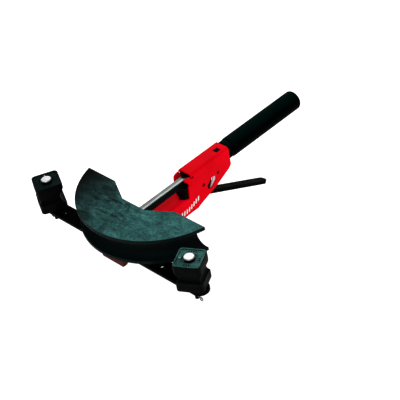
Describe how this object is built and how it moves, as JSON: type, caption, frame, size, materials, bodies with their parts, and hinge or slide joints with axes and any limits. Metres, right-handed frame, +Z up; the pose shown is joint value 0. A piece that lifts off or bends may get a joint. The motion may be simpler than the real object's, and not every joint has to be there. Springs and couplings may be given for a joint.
{
  "type": "manual tube bender",
  "caption": "Hand-held ratchet tube bender: a grooved half-round former on a toothed rod is pushed between two turning glides on a crossbar by squeezing a lever under the handle.",
  "frame": {"origin": "centre of the crossbar's top face, midway between the two glide pins", "axes": "+X along the crossbar, +Y from the crossbar to the handle, +Z up, square to the plane in which the tube is bent"},
  "size_m": [0.3582, 0.424, 0.1355],
  "materials": {
    "red_paint": "glossy sprayed enamel",
    "black_paint": "satin black powder coat",
    "former_plastic": "mottled dark green-black moulded nylon",
    "glide_plastic": "moulded dark green-black nylon",
    "pin_steel": "turned and polished",
    "rod_steel": "bright drawn bar, ground",
    "pawl_steel": "zinc plated",
    "fastener_steel": "zinc plated",
    "oxide_steel": "black oxide",
    "block_black": "blackened casting",
    "tube_steel": "black lacquer",
    "collar_plastic": "moulded black",
    "grip_rubber": "smooth soft-touch black",
    "spring_steel": "spring wire"
  },
  "bodies": {
    "frame": {"frame_channel": "red_paint", "front_bracket": "red_paint", "crossbar": "black_paint", "crossbar_screws": "fastener_steel", "crossbar_nuts": "fastener_steel", "glide_pin_left": "pin_steel", "glide_pin_right": "pin_steel", "glide_washers": "fastener_steel", "rod_guide_block": "block_black", "handle_block": "block_black", "handle_tube": "tube_steel", "handle_rivets": "fastener_steel", "handle_collar": "collar_plastic", "handle_grip": "grip_rubber", "lever_pin": "oxide_steel", "lever_spacers": "fastener_steel", "lever_spring": "spring_steel", "holding_pawl_spring": "spring_steel"},
    "pusher": {"push_rod": "rod_steel", "former": "former_plastic", "former_bush": "fastener_steel", "former_snap_ring": "spring_steel", "rod_stop": "fastener_steel", "rod_stop_nut": "fastener_steel"},
    "lever": {"lever": "black_paint", "drive_pawl_pin": "pawl_steel", "drive_pawl_spring": "spring_steel"},
    "drive_pawl": {"drive_pawl": "pawl_steel"},
    "holding_pawl": {"holding_pawl": "pawl_steel", "holding_pawl_shaft": "oxide_steel", "release_plate": "pawl_steel"},
    "glide_left": {"glide_left": "glide_plastic"},
    "glide_right": {"glide_right": "glide_plastic"},
    "clip_left": {"pin_clip_left": "spring_steel"},
    "clip_right": {"pin_clip_right": "spring_steel"}
  },
  "joints": [
    {"name": "former_advance", "type": "slide", "parent": "frame", "child": "pusher", "axis": [0, -1, 0], "range_m": [-0.0602, 0.0301]},
    {"name": "lever_squeeze", "type": "hinge", "parent": "frame", "child": "lever", "pos_m": [0, 0.1624, 0.0048], "axis": [1, 0, 0], "range_deg": [0, 28]},
    {"name": "drive_pawl_lift", "type": "hinge", "parent": "lever", "child": "drive_pawl", "pos_m": [0, 0.16458, 0.01353], "axis": [-1, 0, 0], "range_deg": [0, 11.5]},
    {"name": "holding_pawl_lift", "type": "hinge", "parent": "frame", "child": "holding_pawl", "pos_m": [0, 0.1943, 0.0085], "axis": [-1, 0, 0], "range_deg": [0, 7]},
    {"name": "glide_left_turn", "type": "hinge", "parent": "frame", "child": "glide_left", "pos_m": [-0.1536, 0, 0.0245], "axis": [0, 0, 1], "continuous": true},
    {"name": "glide_right_turn", "type": "hinge", "parent": "frame", "child": "glide_right", "pos_m": [0.1536, 0, 0.0245], "axis": [0, 0, 1], "continuous": true},
    {"name": "clip_left_pull", "type": "slide", "parent": "frame", "child": "clip_left", "axis": [-1, 0, 0], "range_m": [0, 0.014]},
    {"name": "clip_right_pull", "type": "slide", "parent": "frame", "child": "clip_right", "axis": [1, 0, 0], "range_m": [0, 0.014]}
  ]
}
